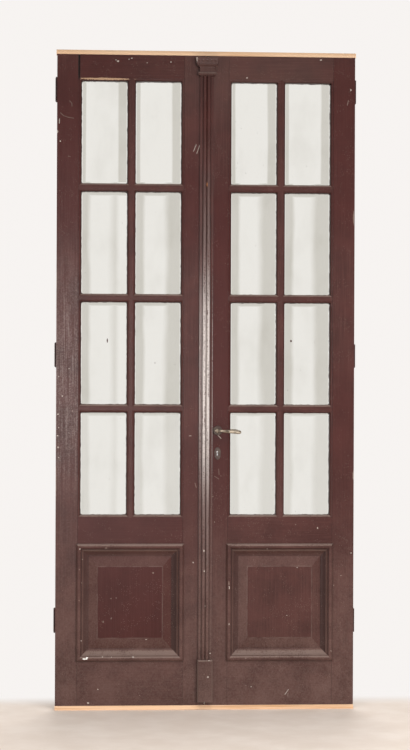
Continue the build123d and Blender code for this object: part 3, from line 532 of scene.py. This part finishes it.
def sheet_glass(name):
    """Old drawn glass in panes: faintly green, with painted shadows of the bars as soft grey stripes beside
    and under them, clouds and ripples, and paint that has run over from the bars, spattered and in spots.

    A point's own place in its pane is the distance across and upward from the pane's low corner. The upright
    shadows are thin at the left of a pane and broad at the right, and softer below the top row. In the outer
    left panes below it the broad one stands off from the bar.
    """
    f = Finish(name, Roughness=0.02, IOR=1.45, Transmission_Weight=1.0)
    x, _, z = f.split(f.place)
    width = (glass_high.x - glass_low.x - bar_width - 2 * glass_in_rebate) / pane_columns
    height = (glass_high.z - glass_low.z - (pane_rows - 1) * bar_width - 2 * glass_in_rebate) / pane_rows
    across = (abs(x) - (glass_low.x + glass_in_rebate)).modulo(width + bar_width)
    upward = (z - (glass_low.z + glass_in_rebate)).modulo(height + bar_width)
    side = across.least(width - across)
    end = upward.least(height - upward)
    bend = 7 * MM
    edge = bend - (((bend - side).most(0.0)) ** 2 + ((bend - end).most(0.0)) ** 2) ** 0.5
    on_right = x > 0.0
    from_left = across * on_right + (width - across) * (1.0 - on_right)
    from_right = width - from_left
    below_top = z < glass_high.z - height
    in_lowest = z < glass_low.z + height

    def by_row(top, lower):
        """A length in millimetres, one in the top row and another in the lower rows."""
        return top * MM + (lower - top) * MM * below_top

    # Painted shadows of the bars: upright ones beside them, and one under each cross bar
    wander = (f.noise((9.0, 9.0, 2.4)) - 0.5) * by_row(12, 38)
    narrow = f.ease(from_left + wander, by_row(19, 41), by_row(13, 23))
    wide = f.ease(from_right + wander, by_row(39, 75), by_row(30, 42))
    detached = below_top * (x < -leaf_middle)
    wide = wide * (1.0 - detached * f.ease(from_right, 48 * MM, 26 * MM)) * (1.0 - 0.35 * detached)
    shadow_under_bar = f.ease(height - upward, 16 * MM, 8 * MM) * below_top
    bar_shadows = narrow.most(wide).most(shadow_under_bar) * f.ease(side, 2 * MM, 5 * MM) * (1.0 - 0.4 * in_lowest)
    clouds = f.ease(f.noise((7.0, 7.0, 4.0)), 0.45, 0.75)
    tint_and_shadows = f.blend((0.85 * bar_shadows + 0.25 * clouds).least(1.0), glass_clear, glass_grey_and_shadow)
    ripple = f.noise((11.0, 11.0, 2.2), detail=2.0)
    f.finish(Base_Color=tint_and_shadows, Normal=f.bump(0.0006 * ripple))
    drip = f.noise(60.0, detail=4.0)
    spatter = (f.cells(34.0) < 0.035) * (f.noise(4.0) > 0.54)
    covered = (edge < 6 * MM * drip - 2.6 * MM).most(spatter)
    for centre, half in glass_spots:
        covered = covered.most(f.spot(metres(centre), metres(half), 0.8 * drip - 0.4))
    paint = f.node("BsdfPrincipled", None, {"Base Color": (*oxblood_deep, 1.0), "Roughness": 0.4})
    f.end_in_mix(covered, f.surface, paint)
    return f.material


def painted_iron(name):
    """Iron under several coats of paint, lumpy, with rust where the paint has gone."""
    f = Finish(name)
    lumps = f.noise(180.0, detail=4.0)
    rust = f.ease(f.noise(60.0, detail=5.0), 0.62, 0.72)
    colour = f.blend(f.ease(lumps, 0.35, 0.7), oxblood_deep, oxblood)
    colour = f.blend(rust, colour, (0.12, 0.045, 0.018))
    rough = 0.36 + 0.2 * lumps + 0.3 * rust
    return f.finish(Base_Color=colour, Roughness=rough, Normal=f.bump(0.0004 * lumps))


def worn_lever(name):
    """Plated brass, rubbed bright in places and brown with age between and round the neck."""
    f = Finish(name)
    patina = f.noise((45.0, 160.0, 160.0), detail=5.0)
    rub = f.noise((40.0, 900.0, 900.0), detail=2.0)
    x, _, _ = f.split(f.place)
    age = f.ease(patina, 0.42, 0.66).most(f.ease(abs(x - lever_neck), 8 * MM, 4 * MM) * 0.85)
    colour = f.blend(age, (0.60, 0.51, 0.40), (0.10, 0.075, 0.055))
    metal = 1.0 - 0.35 * age
    rough = 0.30 + 0.25 * age + 0.12 * rub
    bent = f.bump(0.0001 * (0.6 * rub + 0.4 * patina))
    return f.finish(Base_Color=colour, Metallic=metal, Roughness=rough, Normal=bent)


def painted_plate(name):
    """A brass plate under thin old paint, rubbed through to grey-brown metal."""
    f = Finish(name)
    wear = f.ease(f.noise(90.0, detail=5.0), 0.42, 0.62)
    lumps = f.noise(240.0)
    colour = f.blend(wear, (0.052, 0.026, 0.022), (0.100, 0.074, 0.060))
    rough = 0.34 + 0.2 * lumps
    return f.finish(Base_Color=colour, Metallic=0.35 * wear, Roughness=rough, Normal=f.bump(0.0003 * lumps))


def dull_steel(name):
    """Lock steel gone dull, with brown rust freckles and rubbed lines."""
    f = Finish(name)
    rub = f.noise((40.0, 500.0, 500.0))
    rust = f.ease(f.noise(110.0, detail=5.0), 0.56, 0.7)
    colour = f.blend(rust, (0.34, 0.32, 0.30), (0.14, 0.06, 0.025))
    rough = 0.34 + 0.18 * rub + 0.3 * rust
    metal = 1.0 - 0.9 * rust
    bent = f.bump(0.0001 * (0.5 * rub + 0.5 * rust))
    return f.finish(Base_Color=colour, Metallic=metal, Roughness=rough, Normal=bent)


def old_putty(name):
    """Hard putty under paint, knifed off unevenly, with pale cracks."""
    f = Finish(name)
    lumps = f.noise(70.0, detail=4.0)
    cracks = f.ease(f.cells(60.0), 0.62, 0.70)
    colour = f.blend(f.ease(lumps, 0.35, 0.7), oxblood_deep, (0.080, 0.034, 0.029))
    colour = f.blend(cracks * 0.6, colour, (0.30, 0.25, 0.20))
    height = lumps - 0.6 * cracks
    return f.finish(Base_Color=colour, Roughness=0.5 + 0.2 * lumps, Normal=f.bump(0.0007 * height))


def dress(node, material):
    """Gives a node of the frame one material."""
    data = nodes[node].data
    data.materials.clear()
    data.materials.append(material)


# Finishes of the nodes: which way the grain runs, and what a node's own paint has beside its marks
upright_nodes = ("hinge_stile", "meeting_stile", "upright_bar", "panel")
cross_nodes = ("top_rail", "lock_rail", "bottom_rail", "cross_bars", "panel_moulding", "back_bead")
# Paint rubbed pale, which is also a painted sheen, on the astragal and the hinge stile
rubbed_and_sheen_nodes = {
    "astragal": {
        "strength": 0.92, "levels": (0.71, 1.05), "heights": (0.52, 0.16),
        "crest": (-33 * MM, -38 * MM), "arris": astragal_arris,
    },
    "left_hinge_stile": {
        "strength": 0.28, "levels": (0.84, 1.40), "heights": (0.52, 0.16),
        "crest": (-19 * MM, -21 * MM), "arris": hinge_edge,
    },
}
# Wear on these nodes, with painted shade in the moulding hollows and painted highlights on the mouldings and
# the block
wear_and_painted_light_nodes = {
    "left_panel_moulding": moulding_wear_and_light, "right_panel_moulding": moulding_wear_and_light, "base_block": block_wear_and_highlight,
    "left_panel": field_wear, "right_panel": field_wear,
}
# Share of the pale haze near the floor by node, dusty and painted light together
low_dust_and_light = {
    "astragal": 0.65, "base_block": 0.55, "left_panel": 0.0, "right_panel": 0.10, "left_lock_rail": 0.12,
    "right_lock_rail": 0.20, "left_bottom_rail": 0.34,
}
# Share of the film on panel bevels: dusty, and a painted highlight on those facing down and left
bevel_dust_and_highlight_shares = {"left_panel": 0.45, "right_panel": 0.36}
# Patches of darker or lighter tone by node: colour, share, and the axis, centre and distances where it has
# faded and is whole. The dark band down the middle of the right meeting stile is painted shade beside the
# astragal, and the lighter patches on the right top rail and at the tops of both meeting stiles are a painted
# sheen.
cast_nodes = {
    "left_top_rail": [(deep_red, 0.45, ("x", -0.52, 0.36, 0.10))],
    "left_hinge_stile": [(deep_red, 0.56, ("z", 2.15, 0.45, 0.20))],
    "left_meeting_stile": [
        (dust_and_sheen, 0.07, ("z", 2.52, 0.30, 0.08)), (deep_red, 0.52, ("z", 1.95, 0.30, 0.08)),
        (deep_red, 0.46, ("z", 0.79, 0.35, 0.15)),
    ],
    "left_lock_rail": [(deep_red, 0.48, ("x", -leaf_middle, 0.40, 0.30))],
    "left_panel": [(deep_red, 0.46, ("x", -leaf_middle, 0.40, 0.30))],
    "capital": [(dust_and_sheen, 0.12, ("z", 2.50, 1.0, 0.5))],
    "right_top_rail": [(dust_and_sheen, 0.10, ("x", 0.22, 0.42, 0.14))],
    "right_hinge_stile": [
        (deep_red, 0.46, ("z", 2.15, 0.45, 0.20)), (deep_red, 0.34, ("z", 0.95, 0.50, 0.20)),
    ],
    "right_meeting_stile": [
        (deep_red, 0.66, ("z", 1.35, 0.85, 0.55)), (dust_and_sheen, 0.11, ("z", 2.52, 0.35, 0.08)),
    ],
    "right_lock_rail": [(deep_red, 0.20, ("x", leaf_middle, 0.40, 0.30))],
}
plain_paint = {"x": old_paint("paint_across", "x"), "z": old_paint("paint_upright", "z")}


def paint_node(node, grain):
    """Paint on one node: the shared paint, or its own where the node has marks or its own haze low down."""
    if node not in marks and node not in low_dust_and_light:
        dress(node, plain_paint[grain])
        return
    wear = (wear_and_painted_light_nodes[node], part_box(node)) if node in wear_and_painted_light_nodes else None
    dress(node, old_paint(
        "paint_" + node, grain, haze=low_dust_and_light.get(node, usual_haze), bevels=bevel_dust_and_highlight_shares.get(node, 0.0),
        casts=cast_nodes.get(node, ()), rubbed=rubbed_and_sheen_nodes.get(node), wear=wear,
        lines=scratches.get(node, ()), spots=marks.get(node, ())))


for side in ("left", "right"):
    for piece in upright_nodes:
        paint_node(f"{side}_{piece}", "z")
    for piece in cross_nodes:
        paint_node(f"{side}_{piece}", "x")
for piece in ("astragal", "capital", "base_block"):
    paint_node(piece, "z")

slot_finish = {
    "raw_pine": raw_pine("raw_pine_sawn"),
    "glass": sheet_glass("drawn_glass"),
    "putty": old_putty("putty_painted"),
    "painted_iron": painted_iron("iron_painted"),
    "lever_metal": worn_lever("lever_worn"),
    "painted_plate": painted_plate("plate_painted"),
    "lock_steel": dull_steel("steel_dull"),
}
for part in frame["record"]["subparts"]:
    if part["material_slot"] in slot_finish:
        dress(part["node"], slot_finish[part["material_slot"]])


# Screws with a slot in the head, each set in the place of its plain node. slot_turn is the angle from one
# slot to the next in radians, slot_wall is in half widths of the slot and slot_end in radii of the head.
screw_shank = 2.45 * MM
screw_countersink = 1.5 * MM
slot_half_width = 0.55 * MM
slot_depth = 0.8 * MM
slot_turn = 2.4
slot_wall = 0.7
slot_end = 0.2
head_rings = 14
screws_apart = 3 * MM


def middles(values):
    """Middle of each run of values, where runs lie more than screws_apart from each other, and half the width
    of the first run."""
    ordered = np.sort(values)
    breaks = np.flatnonzero(np.diff(ordered) > screws_apart)
    low = ordered[np.append(0, breaks + 1)]
    high = ordered[np.append(breaks, len(ordered) - 1)]
    return (low + high) / 2, (high[0] - low[0]) / 2


def screw_surface(head, length, columns=64):
    """One screw down its own -z axis from a flat head at z = 0, as points and faces.

    The rings follow the outline (r, z): across the head, down the countersink to the shank and to the end.
    On the head z = -slot_depth * wall * closing. wall falls from 1 to 0 as |r sin(angle)| crosses
    slot_half_width, over slot_wall half widths, and closing falls from 1 to 0 over the last slot_end of the
    radius. A point at the middle of each end closes the form.
    """
    across_head = np.linspace(0.0, head, head_rings + 1)[1:]
    radius = np.concatenate([across_head, [screw_shank, screw_shank]])
    drop = np.concatenate([np.zeros_like(across_head), [-screw_countersink, -length]])
    angle = np.linspace(0.0, 2 * math.pi, columns, endpoint=False)
    off_line = np.abs(radius[:, None] * np.sin(angle))
    wall = np.clip((1 + slot_wall / 2 - off_line / slot_half_width) / slot_wall, 0.0, 1.0)
    closing = np.clip((head - radius) / (slot_end * head), 0.0, 1.0)[:, None] * (drop > -slot_depth)[:, None]
    depth = drop[:, None] - slot_depth * wall * closing
    rings = np.stack([radius[:, None] * np.cos(angle), radius[:, None] * np.sin(angle), depth], axis=-1)
    ends = [(0.0, 0.0, -slot_depth), (0.0, 0.0, -length)]
    points = np.concatenate([rings.reshape(-1, 3), ends])
    here = np.arange(columns)
    after = np.roll(here, -1)
    ring = (np.arange(len(radius) - 1) * columns)[:, None]
    below = ring + columns
    quads = np.stack([ring + here, below + here, below + after, ring + after], axis=-1)
    top, bottom = len(points) - 2, len(points) - 1
    last = (len(radius) - 1) * columns
    cap = np.stack([np.full(columns, top), here, after], axis=-1)
    foot = np.stack([np.full(columns, bottom), last + after, last + here], axis=-1)
    return points, quads.reshape(-1, 4), np.concatenate([cap, foot])


def slotted_screws(node, body, axis, side, slot):
    """The screws of a node, whose heads face along axis 0 or 1, towards + or - as side is 1 or -1."""
    data = nodes[node].data
    flat = np.empty(3 * len(data.vertices))
    data.vertices.foreach_get("co", flat)
    points = flat.reshape(-1, 3)
    outward = side * np.eye(3)[axis]
    across = np.array([0.0, 0.0, 1.0])
    third = np.cross(outward, across)
    heights, head = middles(points[:, 2])
    beside, _ = middles(points[:, 1 - axis])
    face_at = side * (side * points[:, axis]).max()
    form, quads, ends = screw_surface(head, np.ptp(points[:, axis]))
    beside, heights = [grid.ravel() for grid in np.meshgrid(beside, heights)]
    centres = np.full((len(heights), 3), face_at)
    centres[:, 1 - axis], centres[:, 2] = beside, heights
    turn = slot_turn * np.arange(len(heights))[:, None, None]
    along = np.cos(turn) * across + np.sin(turn) * third
    aside = np.cos(turn) * third - np.sin(turn) * across
    # outward, across and third are right-handed in that order, so along, aside and outward are as well
    placed = centres[:, None] + form[:, :1] * along + form[:, 1:2] * aside + form[:, 2:] * outward
    shift = len(form) * np.arange(len(heights))[:, None, None]
    faces = (quads + shift).reshape(-1, 4).tolist() + (ends + shift).reshape(-1, 3).tolist()
    mesh = bpy.data.meshes.new("slotted_" + node)
    mesh.from_pydata(placed.reshape(-1, 3).tolist(), [], faces)
    mesh.materials.append(slot_finish[slot])
    piece = bpy.data.objects.new("slotted_" + node, mesh)
    bpy.context.scene.collection.objects.link(piece)
    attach(piece, body)
    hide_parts(node)


for screws in (
    ("left_hinge_screws", "left_leaf", 0, -1, "painted_iron"),
    ("right_hinge_screws", "right_leaf", 0, 1, "painted_iron"),
    ("strike_screws", "left_leaf", 0, 1, "lock_steel"),
    ("forend_screws", "right_leaf", 0, -1, "lock_steel"),
    ("bolt_screws", "left_leaf", 1, 1, "lock_steel"),
):
    slotted_screws(*screws)

# Stage, camera and light
wall_white = (0.93, 0.90, 0.88)
floor_tan, floor_light = (0.81, 0.70, 0.61), (0.90, 0.80, 0.715)
soft_white = (1.0, 0.985, 0.97)
soft_light = 0.30
picture_height = 750
focal_pixels = 1969.14
film_width = 36.0
eye = Vector((-0.45617, -7.59187, 1.27464))
eye_yaw, eye_pitch, eye_roll = -0.0598, 0.0018, 0.0038


def make_world():
    """White for rays that look at it, and a soft light for the rest."""
    world = bpy.data.worlds.new("studio")
    bpy.context.scene.world = world
    sky = Drawing(world, "World Output")
    plain = sky.tree.nodes["Background"]
    sky.feed(plain.inputs["Color"], (*soft_white, 1.0))
    sky.feed(plain.inputs["Strength"], soft_light)
    seen = sky.node("Background", None, {"Color": (*wall_white, 1.0)})
    sky.end_in_mix(sky.background(), Wire(sky, plain.outputs[0]), seen)


def make_floor():
    """A pale floor that fades into the background, close behind the doors and further off on other sides."""
    half, near, far = 6.0, -5.0, 6.0
    corners = [(-half, near, 0), (half, near, 0), (half, far, 0), (-half, far, 0)]
    data = bpy.data.meshes.new("floor")
    data.from_pydata(corners, [], [(0, 1, 2, 3)])
    floor = bpy.data.objects.new("floor", data)
    bpy.context.scene.collection.objects.link(floor)
    f = Finish("floor_pale", Roughness=0.75)
    x, y, _ = f.split(f.place)
    away = (x ** 2 + y ** 2) ** 0.5
    clouds = f.noise(6.0, detail=5.0)
    f.finish(Base_Color=f.blend(f.ease(clouds, 0.3, 0.8), floor_tan, floor_light))
    glow = f.node("Emission", None, {"Color": (*wall_white, 1.0)})
    behind = f.ease(y, 0.06, 0.32)
    around = f.ease(away, 1.3, 2.4)
    f.end_in_mix(behind.most(around) * f.background(), f.surface, glow)
    data.materials.append(f.material)


def make_camera():
    """The camera at the place worked out from the picture."""
    data = bpy.data.cameras.new("eye")
    data.sensor_width = film_width
    data.lens = focal_pixels * film_width / picture_height
    data.clip_end = 100.0
    camera = bpy.data.objects.new("eye", data)
    bpy.context.scene.collection.objects.link(camera)
    upright = Matrix.Rotation(math.pi / 2 + eye_pitch, 4, "X") @ Matrix.Rotation(eye_roll, 4, "Z")
    camera.matrix_world = Matrix.Translation(eye) @ Matrix.Rotation(eye_yaw, 4, "Z") @ upright
    bpy.context.scene.camera = camera


def make_lamp(name, place, aim, size, power, glossy):
    """A soft rectangular lamp at a place, turned to an aim point."""
    data = bpy.data.lights.new(name, "AREA")
    data.shape = "RECTANGLE"
    data.size, data.size_y = size
    data.energy = power
    lamp = bpy.data.objects.new(name, data)
    bpy.context.scene.collection.objects.link(lamp)
    turn = (Vector(aim) - Vector(place)).to_track_quat("-Z", "Y")
    lamp.matrix_world = Matrix.Translation(place) @ turn.to_matrix().to_4x4()
    lamp.visible_camera = False
    lamp.visible_transmission = False
    lamp.visible_glossy = glossy


make_world()
make_floor()
make_camera()
middle = (0.0, 0.0, 1.25)
# Each lamp: name, place, aim, size, power in watts, and whether it shows in gloss
for lamp in (
    ("window", (1.9, -5.8, 1.7), (0.0, 0.0, 0.6), (2.2, 1.6), 140, False),
    ("ceiling", (0.3, -2.4, 2.70), (0.3, -2.4, 0.0), (3.2, 1.6), 80, False),
    ("near_eye", (-0.63, -7.5, 1.20), middle, (0.10, 1.4), 46, True),
    ("behind", (0.5, 5.0, 3.2), middle, (3.0, 2.0), 200, False),
):
    make_lamp(*lamp)

bpy.context.scene.view_settings.view_transform = "Standard"
